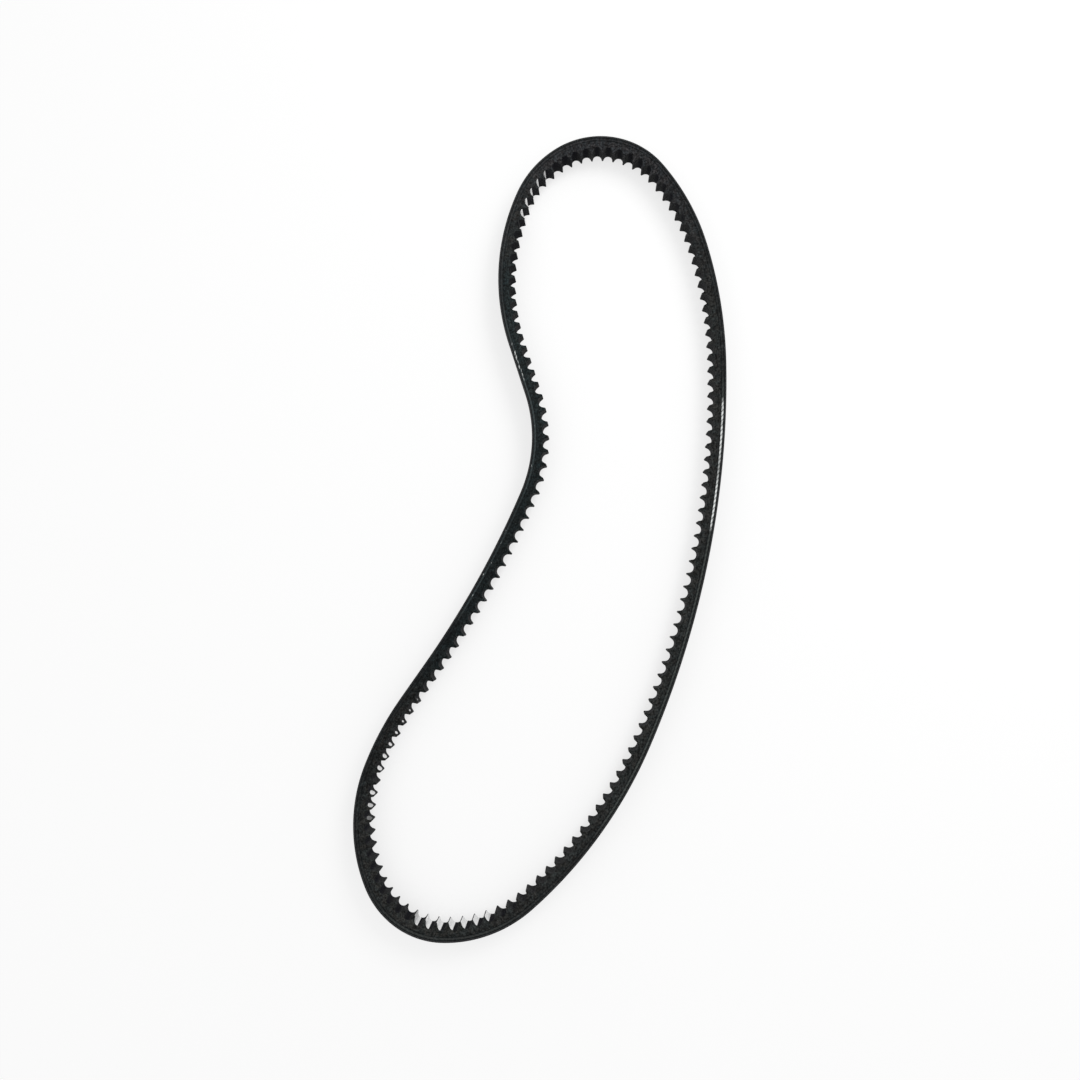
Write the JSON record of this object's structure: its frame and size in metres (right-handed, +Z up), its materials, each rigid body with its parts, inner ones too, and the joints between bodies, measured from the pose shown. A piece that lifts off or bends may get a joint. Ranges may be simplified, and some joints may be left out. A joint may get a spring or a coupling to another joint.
{
  "type": "v belt",
  "caption": "Endless raw-edge cogged V belt of narrow trapezoid section, lying on its side in a slack, bean-shaped loop.",
  "frame": {"origin": "on the surface the belt lies on, under the middle of the loop's bounding box", "axes": "+Z up across the belt's width, +Y along the loop's longest extent towards its tight upper bend, +X to the right seen from above"},
  "size_m": [0.1796, 0.3914, 0.013],
  "materials": {
    "outer_fabric": "rubberised, matt",
    "inner_fabric": "rubberised, matt",
    "cushion_rubber": "cut, matt",
    "cord": "sliced polyester fibre",
    "cog_rubber": "cut matt flanks, moulded satin cogs"
  },
  "bodies": {
    "root": {"outer_ply": "outer_fabric", "inner_ply": "inner_fabric", "over_gum": "cushion_rubber", "cord_1": "cord", "cord_2": "cord", "cord_3": "cord", "cord_4": "cord", "cord_5": "cord", "cord_6": "cord", "cord_7": "cord", "cord_8": "cord", "cord_9": "cord", "cord_10": "cord", "under_gum": "cushion_rubber", "cog_body": "cog_rubber"}
  },
  "joints": []
}
